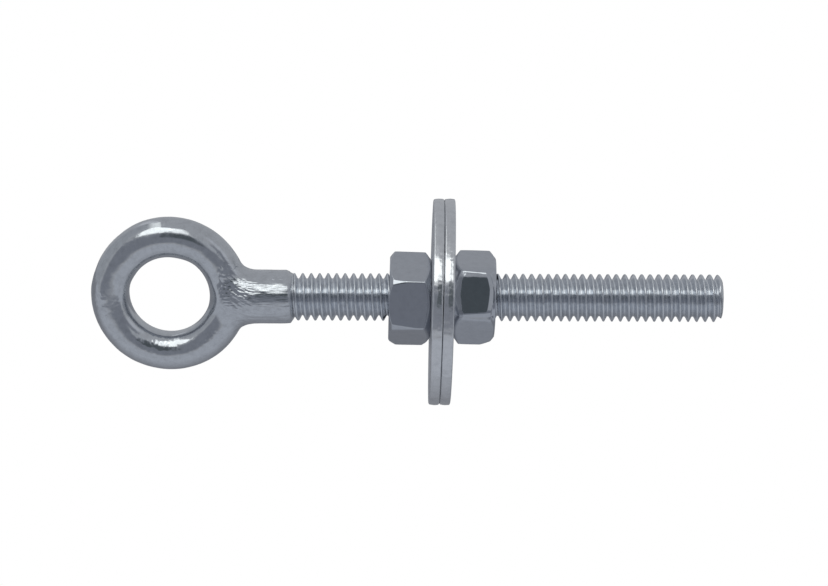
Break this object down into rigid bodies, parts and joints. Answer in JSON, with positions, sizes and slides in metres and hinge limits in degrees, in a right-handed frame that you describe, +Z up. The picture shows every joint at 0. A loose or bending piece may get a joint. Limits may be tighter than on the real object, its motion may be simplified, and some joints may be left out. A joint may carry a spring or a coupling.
{
  "type": "eye bolt",
  "caption": "Forged round eye on a long threaded shank, with nuts and large flat washers that clamp a panel; the eye takes a hook, shackle or rope.",
  "frame": {"origin": "centre of the eye's hole", "axes": "+X along the threaded shank to its tip, +Y along the eye's hole, +Z up"},
  "size_m": [0.1049, 0.0344, 0.0343],
  "materials": {
    "plated_bolt": "bright zinc plate over forged and threaded steel",
    "plated_nut": "bright zinc plate over a smooth cold-formed hexagon",
    "plated_washer": "bright zinc plate over stamped steel with a sheared rim"
  },
  "bodies": {
    "bolt": {"eye_bolt": "plated_bolt"},
    "eye_side_washer": {"washer_eye_side": "plated_washer"},
    "eye_side_nut": {"nut_eye_side": "plated_nut"},
    "tip_side_washer": {"washer_tip_side": "plated_washer"},
    "tip_side_nut": {"nut_tip_side": "plated_nut"}
  },
  "joints": [
    {"name": "eye_side_travel", "type": "slide", "parent": "bolt", "child": "eye_side_washer", "axis": [-1, 0, 0], "range_m": [0, 0.01411]},
    {"name": "eye_side_nut_turn", "type": "hinge", "parent": "eye_side_washer", "child": "eye_side_nut", "pos_m": [0.04013, 0, -0.00046], "axis": [-1, 0, 0], "range_deg": [0, 3600]},
    {"name": "tip_side_travel", "type": "slide", "parent": "bolt", "child": "tip_side_washer", "axis": [1, 0, 0], "range_m": [0, 0.03669]},
    {"name": "tip_side_nut_turn", "type": "hinge", "parent": "tip_side_washer", "child": "tip_side_nut", "pos_m": [0.05053, 0, -0.00046], "axis": [1, 0, 0], "range_deg": [0, 9360]}
  ],
  "couplings": [
    {"joint": "eye_side_travel", "follows": "eye_side_nut_turn", "m_per_rad": 0.00022459},
    {"joint": "tip_side_travel", "follows": "tip_side_nut_turn", "m_per_rad": 0.00022459}
  ]
}
